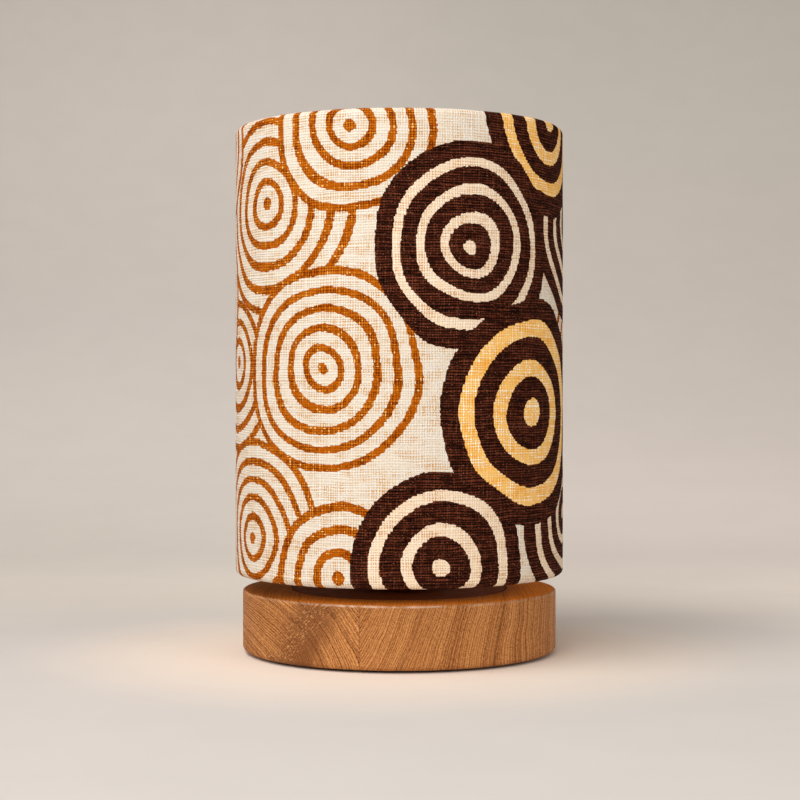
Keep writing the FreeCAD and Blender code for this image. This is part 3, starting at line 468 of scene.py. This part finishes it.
def printed_cloth():
    """Slub cloth with the roundels printed on it."""
    f = Finish("printed_slub_cloth")
    across, up, _ = f.parts(f.node("ShaderNodeUVMap", uv_map="cloth").outputs[0])
    pitch = FULL_TURN * shade_r_mm / thread_count
    u = f.mul(across, MM_PER_M)
    v = f.mul(up, MM_PER_M)

    def flecks(per_u, per_v, level, detail):
        """Noise on the cloth, in spots to a millimetre round and up the shade."""
        return f.noise(f.join(f.mul(u, per_u), f.mul(v, per_v), level), detail=detail)

    def is_ink(index):
        return f.math("COMPARE", ink, float(index), 0.4)

    # Threads: warp up the shade, weft round it, each wandering a little
    wander = f.swing(flecks(0.05, 0.05, 0.0, 1.0), drift_mm)
    crowd_u = f.swing(f.noise(f.mul(u, 0.33), dimensions="1D"), crowd_mm)
    crowd_v = f.swing(f.noise(f.fma(v, 0.33, 40.0), dimensions="1D"), crowd_mm)
    warp = f.math("DIVIDE", f.add(f.add(u, wander), crowd_u), pitch)
    weft = f.math("DIVIDE", f.add(f.add(v, wander), crowd_v), thread_row_mm)
    warp_id = f.math("ROUND", warp)
    weft_id = f.math("ROUND", weft)
    crossing = f.mul(f.math("COSINE", f.mul(warp, math.pi)), f.math("COSINE", f.mul(weft, math.pi)))
    over = f.fma(crossing, 0.5, 0.5)
    thick_weft = f.noise(f.join(f.mul(warp, 0.13), f.mul(weft_id, 1.7), 0.0))
    thick_warp = f.noise(f.join(f.mul(warp_id, 1.7), f.mul(weft, 0.13), 7.0))
    weft_high = f.mul(f.hump(weft), f.remap(thick_weft, 0.25, 0.75, *thread_heights))
    warp_high = f.mul(f.hump(warp), f.remap(thick_warp, 0.25, 0.75, *thread_heights))
    height = f.add(f.mul(over, warp_high), f.mul(f.sub(1.0, over), weft_high))

    # The print wobbles where it meets the threads
    jitter = f.random(f.join(warp_id, weft_id, 3.0))
    off_warp = f.add(f.sub(warp_id, warp), f.fma(jitter, snap_spread, -snap_spread / 2))
    off_weft = f.add(f.sub(weft_id, weft), f.fma(jitter, -snap_spread, snap_spread / 2))
    step_u = f.mul(off_warp, pitch * snap_share)
    step_v = f.mul(off_weft, thread_row_mm * snap_share)
    slip = f.swing(flecks(0.035, 0.035, 11.0, 0.0), slip_mm)
    ink = printed_ink(f, f.add(f.add(u, step_u), slip), f.add(f.add(v, step_v), slip))
    brown = is_ink(BROWN)
    gold = is_ink(GOLD)
    ochre = is_ink(OCHRE)

    # Crowns of the threads catch less ink and get a painted highlight, and the gaps between threads are
    # painted in shade, more where the weave is loose
    patchy = flecks(0.08, 0.16, 5.0, 3.0)
    loose = f.mul(f.remap(patchy, 0.40, 0.60, 0.25, 1.1), f.fma(jitter, 0.9, 0.55))
    gap = f.mul(f.remap(height, 0.47, 0.05), loose)
    crown_at = f.mul(f.remap(height, 0.50, 1.10), f.fma(gold, 0.8, 0.65))
    crown = f.mul(crown_at, f.remap(f.add(thick_weft, thick_warp), 0.8, 1.2, 0.2, 1.0))
    colour = f.mix(crown, ink_ramp(f, ink, BODY), ink_ramp(f, ink, CROWNS))
    colour = f.mix(gap, colour, ink_ramp(f, ink, SHADED_GAPS))

    # Ochre ink: bare crowns here and there, and crossings that took it twice
    bare = f.mul(f.mul(ochre, f.remap(jitter, 0.86, 0.90)), f.remap(height, 0.45, 0.90))
    soaked = f.mul(f.mul(ochre, f.remap(jitter, 0.22, 0.16)), f.remap(height, 0.75, 0.25))
    colour = f.mix(f.mul(bare, 0.75), colour, srgb(*BARE_OCHRE))
    colour = f.mix(f.mul(soaked, 0.70), colour, srgb(*SOAKED_OCHRE))

    # Dark ink: painted shade in the grooves between weft threads and painted light on their tops, and stray
    # rust and pale fibres
    rib_shading = f.remap(weft_high, 0.15, 0.85, 0.32, 1.32)
    colour = f.toned(colour, f.fma(brown, f.sub(rib_shading, 1.0), 1.0))
    fibre = flecks(1.1, 2.6, 19.0, 1.0)
    rust = f.mul(f.mul(brown, f.remap(fibre, 0.63, 0.71)), f.remap(thick_warp, 0.45, 0.6))
    pale = f.mul(brown, f.remap(flecks(0.9, 2.1, 43.0, 1.0), 0.68, 0.73))
    colour = f.mix(f.mul(rust, 0.8), colour, srgb(*RUST_FIBRE))
    colour = f.mix(f.mul(pale, 0.6), colour, srgb(*PALE_FIBRE))

    fuzz = flecks(3.0, 3.0, 1.0, 2.0)
    relief = f.add(height, f.mul(fuzz, 0.35))
    f.set(Base_Color=colour, Roughness=0.95, Specular_IOR_Level=0.05)
    f.set(Normal=f.bump(relief, weave_depth_mm))
    return f.material


def cloth_profile(low, high):
    """The cloth's section from its outer foot, in millimetres.

    Each row is the radius, the height, the outward direction in both, the distance along the cloth, and how
    much the unevenness moves it.
    """
    middle = shade_r_mm - roll_mm
    thin = roll_mm - cloth_t_mm
    rows = []

    def wall(radius, z0, z1, steps, out, along, stir):
        for i in range(steps):
            z = z0 + (z1 - z0) * i / steps
            rows.append((radius, z, out, 0.0, along + (z - z0) * (1 if z1 > z0 else -1), stir))

    def arc(radius, z, start, stop, steps, along, stir, sign=1):
        for i in range(steps):
            turn = math.radians(start + (stop - start) * i / steps)
            at_r = middle + radius * math.cos(turn)
            at_z = z + radius * math.sin(turn)
            length = radius * abs(turn - math.radians(start))
            rows.append((at_r, at_z, sign * math.cos(turn), sign * math.sin(turn), along + length, stir))

    rise = high - low
    turned = rise + math.pi * roll_mm
    wall(shade_r_mm, low, high, round(rise / cloth_row_mm), 1.0, 0.0, 1.0)
    arc(roll_mm, high, 0, 180, hem_rows, rise, 1.0)
    wall(middle - roll_mm, high, high - hem_leg_mm, leg_rows, -1.0, turned, 1.0)
    wall(middle - thin, high - hem_leg_mm, high, leg_rows, 1.0, turned, 0.0)
    arc(thin, high, 180, 0, inner_hem_rows, rise, 0.0, sign=-1)
    wall(shade_r_mm - cloth_t_mm, high, low, lining_rows, -1.0, 0.0, 0.0)
    arc(thin, low, 0, -180, inner_hem_rows, 0.0, 0.0, sign=-1)
    arc(roll_mm, low, -180, 0, hem_rows, -math.pi * roll_mm, 1.0)
    return rows


def column_angle(column):
    """The turn of a column of the cloth from the front, negative at the left."""
    return -math.pi + FULL_TURN * column / cloth_columns


def cloth_column(mesh, rows, column, foot, head):
    """The vertices of one upright line of the cloth."""
    angle = column_angle(column)
    lap = max(0.0, (angle * shade_r_mm - (math.pi * shade_r_mm - lap_mm)) / lap_mm)
    rise = lap_rise_mm * min(1.0, lap * lap_ease)
    line = []
    for row_r, z, out_r, out_z, along, stir in rows:
        round_x = math.sin(angle) * wall_waves_round
        round_y = -math.cos(angle) * wall_waves_round
        swell = noise.noise(Vector((round_x, round_y, along / wall_wave_length_mm))) * wall_wave_mm
        spot = Vector((column * rim_waves_per_column, along * rim_waves_per_mm, rim_wave_level))
        thread = noise.noise(spot) * rim_wave_mm
        past_wall = max(0.0, abs(z - (foot + head) / 2) - (head - foot) / 2 + rim_starts_mm)
        near_rim = min(1.0, rim_wave_in_wall + past_wall / rim_full_mm)
        push = stir * (swell + thread * near_rim * 0.5 + max(0.0, out_r) * rise * stir)
        at_r = (row_r + out_r * push) * MM
        at_z = (z + out_z * push) * MM
        line.append(mesh.verts.new((at_r * math.sin(angle), -at_r * math.cos(angle), at_z)))
    return line


def make_cloth():
    """The fabric wall with its rolled hems, a lapped seam at the back and slightly uneven rims."""
    low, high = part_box("shade_fabric")
    foot = low.z / MM + roll_mm
    head = high.z / MM - roll_mm
    rows = cloth_profile(foot, head)
    mesh = bmesh.new()
    uv = mesh.loops.layers.uv.new("cloth")
    grid = [cloth_column(mesh, rows, column, foot, head) for column in range(cloth_columns)]
    longest_step_mm = 30
    for column in range(cloth_columns):
        after = (column + 1) % cloth_columns
        left = column_angle(column) * shade_r_mm * MM
        right = column_angle(column + 1) * shade_r_mm * MM
        for row in range(len(rows)):
            above = (row + 1) % len(rows)
            start = rows[row][4] * MM
            step_mm = abs(rows[above][4] - rows[row][4])
            step = rows[above][4] * MM if step_mm < longest_step_mm else start
            corners = (grid[column][row], grid[after][row], grid[after][above], grid[column][above])
            places = ((left, start), (right, start), (right, step), (left, step))
            face = mesh.faces.new(corners)
            face.smooth = True
            for loop, place in zip(face.loops, places):
                loop[uv].uv = place
    mesh.normal_update()
    cloth = add_mesh("shade_cloth", mesh, printed_cloth())
    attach(cloth, "turntable")
    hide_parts("shade_fabric")


# Wood


def turned_wood():
    """Two staves glued side by side, fibres front to back: the front shows rings that meet in a V."""
    f = Finish("oiled_wood")
    x, y, z = f.parts(f.mm())

    def fibres(per_mm_across, per_mm_along):
        """The point on the wood, drawn out along its fibres."""
        return f.join(f.mul(x, per_mm_across), f.mul(y, per_mm_along), f.mul(z, per_mm_across))

    slow = f.noise(fibres(0.03, 0.012))
    small = f.noise(fibres(0.35, 0.03))
    joint = f.fma(f.noise(f.mul(y, 0.02), dimensions="1D"), joint_sway_mm, joint_x_mm)
    from_joint = f.sub(x, joint)
    left_stave = f.math("LESS_THAN", from_joint, 0.0)
    from_centre_x = f.add(x, ring_centre_left_mm)
    from_centre_z = f.add(z, ring_centre_down_mm)
    rings = f.length(from_centre_x, from_centre_z)
    lean = f.fma(from_joint, line_lean_per_mm, line_lean)
    lines = f.add(f.sub(from_joint, f.mul(f.sub(z, line_turn_z_mm), lean)), line_offset_mm)
    calm = f.fma(left_stave, 0.45, 0.25)
    warp = f.add(f.swing(slow, 7.0), f.mul(calm, f.sub(small, 0.5)))
    phase = f.add(f.add(f.mul(left_stave, rings), f.mul(f.sub(1.0, left_stave), lines)), warp)

    # Rings a millimetre apart, their late wood dark and broken into pores, in bands of differing strength
    broad = f.noise(phase, scale=0.11, detail=1.0, dimensions="1D")
    bands = f.noise(phase, scale=0.38, dimensions="1D")
    skew = f.noise(phase, scale=0.45, detail=1.0, dimensions="1D")
    wave = f.math("SINE", f.mul(f.add(f.mul(phase, 1 / ring_pitch_mm), f.mul(skew, 1.5)), FULL_TURN))
    breaks = f.noise(fibres(1.25, 0.06))
    even = f.remap(bands, 0.36, 0.66, 1.0, f.fma(left_stave, -0.35, 0.82))
    strength = f.mul(even, f.remap(breaks, 0.36, 0.58, 0.25, 1.0))
    line = f.mul(f.remap(wave, -0.05, 0.90), strength)
    pale = f.mul(f.remap(wave, -0.35, -0.95), f.remap(breaks, 0.62, 0.40))
    grain = f.noise(fibres(2.6, 0.25))
    pores = f.mul(f.remap(f.cells(fibres(0.95, 0.09)), 0.24, 0.10), f.remap(wave, -0.2, 0.5))

    tone = f.add(f.add(f.mul(broad, 0.22), f.mul(bands, 0.16)), f.mul(grain, 0.62))
    colour = f.ramp(tone, WOOD_RAMP)
    colour = f.mix(f.mul(pale, f.fma(left_stave, 0.20, 0.50)), colour, srgb(*EARLY_WOOD))
    colour = f.mix(f.mul(line, f.fma(left_stave, 0.26, 0.54)), colour, srgb(*LATE_WOOD))
    colour = f.mix(f.mul(pores, 0.75), colour, srgb(*PORES))

    # The darker figured patch in the left stave, with short rays across the rings
    slant = f.add(f.fma(z, -0.42, 7.5), f.swing(small, 12.0))
    from_patch = f.math("ABSOLUTE", f.add(f.add(x, patch_left_mm), slant))
    patch = f.mul(f.remap(from_patch, 16.0, 4.0), left_stave)
    turn = f.mul(f.math("ARCTAN2", from_centre_z, from_centre_x), rays_arc_mm)
    ray_at = f.noise(f.join(f.mul(rings, 0.7), f.mul(turn, 1.7), f.mul(y, 0.2)), detail=1.0)
    chain_slant = f.add(f.mul(z, -0.75), f.swing(small, 9.0))
    chain = f.math("ABSOLUTE", f.add(f.add(x, rays_left_mm), chain_slant))
    rays = f.mul(f.mul(f.remap(ray_at, 0.55, 0.66), f.remap(chain, 12.0, 2.0)), left_stave)
    seam = f.remap(f.math("ABSOLUTE", from_joint), 0.30, 0.05)
    colour = f.mix(f.mul(patch, 0.72), colour, srgb(*PATCH))
    colour = f.mix(f.mul(rays, 0.50), colour, srgb(*RAYS))
    colour = f.mix(f.mul(seam, 0.55), colour, srgb(*JOINT))

    # The turned top is painted with shade, darkest inwards under the shade's rim and at the left, and is
    # rougher; the arris at the front gets a painted highlight
    radius = f.length(x, y)
    top = f.mul(f.remap(radius, *top_radius_mm), f.remap(z, *top_z_mm))
    # Painted shade on the top: darker towards the left and inwards under the shade's rim
    outer = f.mix(f.remap(x, *top_shade_x_mm), srgb(*TOP_LEFT_PAINTED_SHADE), srgb(*TOP_RIGHT_PAINTED_LIGHT))
    top_painted_shade = f.mix(f.remap(radius, *top_shade_radius_mm), srgb(*TOP_INNER_PAINTED_SHADE), outer)
    top_painted_shade = f.mix(f.mul(line, 0.4), top_painted_shade, srgb(*TOP_LINES))
    colour = f.mix(f.mul(top, 0.85), colour, top_painted_shade)
    # Painted highlight: a broken pale line along the arris, strongest at the front
    arris = f.mul(f.remap(radius, *arris_radius_mm), f.remap(z, *arris_z_mm))
    arris_highlight = f.mul(arris, f.remap(f.specks(0.25, detail=3.0), 0.36, 0.60, 0.1, 1.0))
    arris_highlight = f.mul(arris_highlight, f.remap(x, *arris_left_x_mm, 0.15, 0.75))
    arris_highlight = f.mul(arris_highlight, f.remap(x, *arris_right_x_mm, 0.25, 1.0))
    colour = f.mix(arris_highlight, colour, srgb(*ARRIS_PAINTED_HIGHLIGHT))

    relief = f.sub(f.mul(grain, 0.5), f.add(f.mul(line, 0.7), f.mul(pores, 1.2)))
    roughness = f.fma(top, 0.25, f.remap(tone, 0.35, 0.65, 0.62, 0.50))
    f.set(Base_Color=colour, Roughness=roughness, Specular_IOR_Level=0.11)
    f.set(Normal=f.bump(relief, pore_depth_mm))
    return f.material


# Finishes of the smaller pieces


def moulded(name, colour, roughness, grain_mm=0.5, depth_mm=0.02, uneven=0.06):
    """Moulded plastic, rubber or ceramic: a fine grain and a slight unevenness of tone."""
    f = Finish(name)
    grain = f.specks(1 / grain_mm, detail=3.0)
    cloudy = f.specks(0.09, detail=3.0)
    tone = f.remap(cloudy, 0.3, 0.7, 1 - uneven, 1 + uneven)
    both = f.add(f.mul(grain, 0.5), f.mul(cloudy, 0.5))
    f.set(Base_Color=f.toned(srgb(*colour), tone))
    f.set(Roughness=f.remap(both, 0.3, 0.7, roughness - 0.06, roughness + 0.08))
    f.set(Normal=f.bump(grain, depth_mm))
    return f.material


def turned_metal(
    name, colour, roughness, middle=(0.0, 0.0), groove_mm=0.35, depth_mm=0.006, metallic=1.0, specular=0.5,
):
    """Metal with the fine rings that a lathe leaves about a vertical axis."""
    f = Finish(name)
    x, y, z = f.parts(f.mm())
    radius = f.length(f.sub(x, middle[0]), f.sub(y, middle[1]))
    tool = f.noise(f.join(f.mul(radius, 1 / groove_mm), f.mul(z, 1 / groove_mm), 0.0))
    cloudy = f.specks(0.12, detail=4.0)
    tone = f.remap(f.add(f.mul(tool, 0.4), f.mul(cloudy, 0.6)), 0.35, 0.65, 0.86, 1.08)
    f.set(Base_Color=f.toned(srgb(*colour), tone), Metallic=metallic, Specular_IOR_Level=specular)
    f.set(Roughness=f.remap(cloudy, 0.3, 0.7, roughness - 0.07, roughness + 0.10))
    f.set(Normal=f.bump(tool, depth_mm))
    return f.material


def painted(name, colour, roughness, peel_mm=0.9, depth_mm=0.03):
    """Powder coat with its orange peel, a little dust and thin wear."""
    f = Finish(name)
    peel = f.specks(1 / peel_mm, detail=1.0)
    dust = f.specks(0.05, detail=5.0, roughness=0.6)
    tone = f.remap(dust, 0.3, 0.7, 0.93, 1.06)
    f.set(Base_Color=f.toned(srgb(*colour), tone))
    f.set(Roughness=f.remap(dust, 0.3, 0.7, roughness - 0.05, roughness + 0.10))
    f.set(Normal=f.bump(peel, depth_mm))
    return f.material


def opal_globe():
    """Opal plastic: white, glossy, with light scattered just under the skin."""
    f = Finish("opal_plastic")
    cloudy = f.specks(0.06, detail=3.0)
    colour = f.mix(f.remap(cloudy, 0.3, 0.7), srgb(244, 242, 236), srgb(250, 249, 245))
    f.set(Base_Color=colour, Roughness=f.remap(cloudy, 0.3, 0.7, 0.20, 0.28), Specular_IOR_Level=0.5)
    f.set(Subsurface_Weight=0.35, Subsurface_Radius=(0.004, 0.004, 0.0035), Coat_Weight=0.15)
    return f.material


def styrene_liner():
    """The stiff white sheet behind the cloth, with the cloth's weave faintly pressed into it."""
    f = Finish("white_styrene_sheet")
    x, y, z = f.parts(f.mm())
    around = f.mul(f.math("ARCTAN2", x, f.mul(y, -1.0)), liner_r_mm)
    ribs_round = f.math("SINE", f.mul(around, liner_rib_per_mm))
    ribs_up = f.math("SINE", f.mul(z, liner_rib_per_mm))
    ribs = f.add(ribs_round, ribs_up)
    cloudy = f.specks(0.04, detail=3.0)
    colour = f.mix(f.remap(cloudy, 0.3, 0.7), srgb(236, 231, 220), srgb(246, 243, 235))
    f.set(Base_Color=colour, Roughness=f.remap(cloudy, 0.3, 0.7, 0.50, 0.62))
    f.set(Normal=f.bump(f.fma(ribs, 0.25, 0.5), 0.02))
    return f.material


def led_board_face():
    """The white board with a ring of yellow chips printed on it."""
    f = Finish("led_board")
    x, y, _ = f.parts(f.mm())
    turn = f.mul(f.math("ARCTAN2", x, y), chip_count / FULL_TURN)
    sector = f.math("ABSOLUTE", f.sub(f.math("FRACT", turn), 0.5))
    from_ring = f.math("ABSOLUTE", f.sub(f.length(x, y), chip_ring_mm))
    in_ring = f.math("LESS_THAN", from_ring, chip_half_mm)
    chip = f.mul(in_ring, f.math("LESS_THAN", sector, chip_half_share))
    grain = f.specks(2.0)
    f.set(Base_Color=f.mix(chip, srgb(240, 240, 236), srgb(238, 214, 96)))
    f.set(Roughness=f.remap(grain, 0.3, 0.7, 0.35, 0.5))
    f.set(Normal=f.bump(f.add(chip, f.mul(grain, 0.1)), 0.2))
    return f.material


def dress(node, material):
    """Gives a CAD node its material."""
    slots = nodes[node].data.materials
    slots.clear()
    slots.append(material)


def dress_frame():
    """Gives every CAD node its material."""
    zinc = turned_metal("zinc_plate", (196, 196, 202), 0.34)
    steel = turned_metal("ground_steel", (204, 204, 208), 0.22)
    brass = turned_metal("satin_brass", (206, 172, 104), 0.34)
    stamped = turned_metal("stamped_brass", (214, 184, 118), 0.30)
    motor = turned_metal("drawn_steel", (188, 188, 190), 0.38, middle=motor_axis_mm)
    # The hub's disc is dark brown to stand in for the shade that fills the gap under the shade's rim
    hub = turned_metal(
        "bronze_anodised_shade_dark", (112, 48, 8), 0.70, groove_mm=0.30, depth_mm=0.010, metallic=0.35, specular=0.08,
    )
    chromate = turned_metal("brown_chromate", (96, 58, 26), 0.55, metallic=0.5, specular=0.2)
    nickel = turned_metal("nickel_plate", (206, 202, 192), 0.24)
    acetal = moulded("natural_acetal", (238, 235, 224), 0.42)
    phenolic = moulded("moulded_phenolic", (30, 28, 26), 0.28, grain_mm=0.8, depth_mm=0.010)
    sheath = moulded("lead_sheath", (226, 222, 210), 0.50)
    rubber = moulded("pad_rubber", (38, 38, 38), 0.78, grain_mm=0.35, depth_mm=0.05)
    steatite = moulded("steatite", (232, 226, 212), 0.70, grain_mm=0.3)
    glassy = moulded("vitrified_black", (26, 25, 26), 0.20)
    collar = moulded("white_polycarbonate", (238, 238, 234), 0.34, grain_mm=1.0, depth_mm=0.008)
    housing = moulded("switch_plastic", (30, 30, 31), 0.50, grain_mm=0.3, depth_mm=0.03)
    looks = {
        turned_wood(): ["base_plinth"],
        painted("black_powder_coat", (44, 43, 42), 0.55): ["bottom_cover"],
        painted("white_powder_coat", (234, 231, 224), 0.42): ["shade_frame", "shade_top_ring"],
        rubber: ["foot_pads"],
        zinc: ["cover_screws", "motor_screws", "pipe_washer", "block_screw"],
        chromate: ["gear_screws"],
        steel: ["motor_shaft", "bearing_inner_rings", "bearing_outer_rings", "bearing_balls"],
        brass: [
            "bearing_cages", "bearing_spacer", "bearing_nut",
            "lamp_pipe", "pipe_lower_nut", "pipe_clamp_nut",
        ],
        stamped: ["holder_screw_shell", "holder_contact", "switch_blades", "terminal_screws"],
        motor: ["motor_case", "motor_plate"],
        hub: ["turntable_hub"],
        nickel: ["bulb_tip", "bulb_cap"],
        acetal: ["drive_pinion", "ring_gear"],
        phenolic: ["shade_ring_nut", "holder_cap", "holder_sleeve"],
        sheath: ["motor_lead", "lamp_lead", "switch_lead"],
        styrene_liner(): ["shade_liner"],
        steatite: ["holder_insert"],
        glassy: ["bulb_insulator"],
        collar: ["bulb_collar"],
        led_board_face(): ["led_board"],
        opal_globe(): ["bulb_globe"],
        housing: ["switch_housing"],
        moulded("rocker_plastic", (26, 26, 27), 0.30): ["switch_rocker"],
        moulded("gland_nylon", (32, 32, 32), 0.46): ["cord_gland", "gland_nut"],
        moulded("block_plastic", (228, 226, 218), 0.50): ["terminal_block"],
    }
    for material, names in looks.items():
        for name in names:
            dress(name, material)


# Marks on the rocker


def oval(half_width, half_height):
    """A closed ring of (along, up) points round an oval with straight sides."""
    straight = half_height - half_width
    points = []
    for i in range(oval_points):
        turn = FULL_TURN * (i + 0.5) / oval_points
        up = half_width * math.sin(turn)
        points.append((half_width * math.cos(turn), up + math.copysign(straight, up)))
    return points


def on_rocker(half, along, up, out):
    """A place on one of the rocker's two faces, in metres: along it, up from its middle, and out of it."""
    lean = math.radians(rocker_lean) * half
    across = along * math.cos(lean) - out * math.sin(lean)
    outward = rocker_dip_mm + along * math.sin(lean) + out * math.cos(lean)
    turn = math.radians(switch_turn + rocker_lean)
    pivot = math.radians(switch_turn)
    x = rocker_pivot_mm * math.sin(pivot) + across * math.cos(turn) + outward * math.sin(turn)
    y = rocker_pivot_mm * math.cos(pivot) - across * math.sin(turn) + outward * math.cos(turn)
    return x * MM, y * MM, (rocker_z_mm + up) * MM


def mark_rings(mesh, half, outline, grow):
    """Three rings of vertices up the side of a mark; grow is -1 for its outer edge and 1 for its hole."""
    rings = []
    steps = ((0.0, -mark_root_mm), (0.0, mark_rise_mm * mark_side_share), (mark_round_mm, mark_rise_mm))
    for shrink, out in steps:
        ring = []
        for along, up in outline:
            pull = 1 + grow * shrink / math.hypot(along, up)
            spot = on_rocker(half, half * mark_place_mm + along * pull, up * pull, out)
            ring.append(mesh.verts.new(spot))
        rings.append(ring)
    return rings


def make_rocker_mark(name, half, outer, inner, material):
    """A low raised mark, let into the face; inner is the edge of its hole, or None."""
    mesh = bmesh.new()
    rings = mark_rings(mesh, half, outer, -1)
    pairs = [(0, 1), (1, 2)]
    if inner is None:
        mesh.faces.new(rings[2])
        mesh.faces.new(rings[0])
    else:
        rings += mark_rings(mesh, half, inner, 1)
        pairs += [(2, 5), (5, 4), (4, 3), (3, 0)]
    for first, second in pairs:
        for i in range(oval_points):
            after = (i + 1) % oval_points
            corners = (rings[first][i], rings[first][after], rings[second][after], rings[second][i])
            mesh.faces.new(corners)
    bmesh.ops.recalc_face_normals(mesh, faces=mesh.faces)
    mark = add_mesh(name, mesh, material)
    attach(mark, "rocker")


def make_rocker_marks():
    """The plain bar and ring that tell on from off."""
    white = moulded("white_mark", (236, 236, 232), 0.45, grain_mm=0.3, depth_mm=0.004)
    make_rocker_mark("rocker_mark_on", -1, oval(*bar_half_mm), None, white)
    make_rocker_mark("rocker_mark_off", 1, oval(*ring_outer_half_mm), oval(*ring_inner_half_mm), white)


# Stage, light and camera


def stage_paint():
    """Matt paper, with a painted pool of light round the lamp, painted light over the lamp's shadow at the
    right, and tones painted to even out how the lights fall off with distance.
    """
    f = Finish("studio_paper")
    x, y, _ = f.parts(f.mm())
    grain = f.specks(0.02, detail=4.0)
    right = f.remap(x, *floor_left_right_mm)
    behind = f.remap(y, *floor_front_back_mm)
    # Painted light on the floor to the right of and behind the lamp, over its shadow
    floor_right = f.mix(behind, srgb(*FLOOR_RIGHT_FRONT), srgb(*FLOOR_RIGHT_BACK_PAINTED_LIGHT))
    colour = f.mix(right, srgb(*FLOOR_LEFT), floor_right)
    # Painted pool of light on the floor round the lamp
    colour = f.mix(f.remap(f.length(x, y), *floor_light_pool_mm), colour, srgb(*FLOOR_PAINTED_LIGHT_POOL))
    # Backdrop tones painted to lift the lamp's shadow at the right and even out the lights' fall-off
    for start, end, left_tone, right_tone in BACKDROP:
        tone = f.mix(right, srgb(*left_tone), srgb(*right_tone))
        colour = f.mix(f.remap(y, start, end), colour, tone)
    f.set(Base_Color=f.toned(colour, f.remap(grain, 0.3, 0.7, 0.99, 1.01)))
    f.set(Roughness=0.95, Specular_IOR_Level=0.1)
    return f.material


def make_stage():
    """A floor that sweeps up slowly into a backdrop, low enough to look over from behind the lamp."""
    section = [(floor_front, 0.0), (bend_start, 0.0)]
    for i in range(1, bend_steps + 1):
        turn = math.pi / 2 * i / bend_steps
        section.append((bend_start + bend_r * math.sin(turn), bend_r * (1 - math.cos(turn))))
    section.append((bend_start + bend_r, wall_height))
    points = [(side * floor_half_width, y, z) for y, z in section for side in (-1, 1)]
    faces = [(2 * i, 2 * i + 1, 2 * i + 3, 2 * i + 2) for i in range(len(section) - 1)]
    mesh = bpy.data.meshes.new("studio_floor")
    mesh.from_pydata(points, [], faces)
    for face in mesh.polygons:
        face.use_smooth = True
    mesh.materials.append(stage_paint())
    floor = add_object("studio_floor", mesh)


def area_light(name, place, aim, width, height, watts, colour):
    """A rectangular light that faces the point it is aimed at."""
    light = bpy.data.lights.new(name, "AREA")
    light.shape = "RECTANGLE"
    light.size = width
    light.size_y = height
    light.energy = watts
    light.color = srgb(*colour)[:3]
    panel = add_object(name, light)
    panel.location = place
    panel.rotation_euler = (Vector(aim) - Vector(place)).to_track_quat("-Z", "Y").to_euler()


def make_lights():
    world = bpy.data.worlds.new("studio")
    bpy.context.scene.world = world
    world.use_nodes = True
    background = world.node_tree.nodes["Background"]
    background.inputs["Color"].default_value = srgb(*WARM)
    background.inputs["Strength"].default_value = world_strength
    for light in LIGHTS:
        area_light(*light)


def make_camera():
    data = bpy.data.cameras.new("camera")
    data.sensor_width = camera_sensor
    data.lens = camera_lens
    data.shift_x = centre_shift
    data.shift_y = horizon_shift
    data.clip_end = camera_reach
    camera = add_object("camera", data)
    camera.location = (0.0, -camera_distance, camera_height)
    camera.rotation_euler = (math.pi / 2, 0.0, 0.0)
    bpy.context.scene.camera = camera


bpy.context.scene.view_settings.view_transform = "Standard"
dress_frame()
make_cloth()
make_rocker_marks()
make_stage()
make_lights()
make_camera()
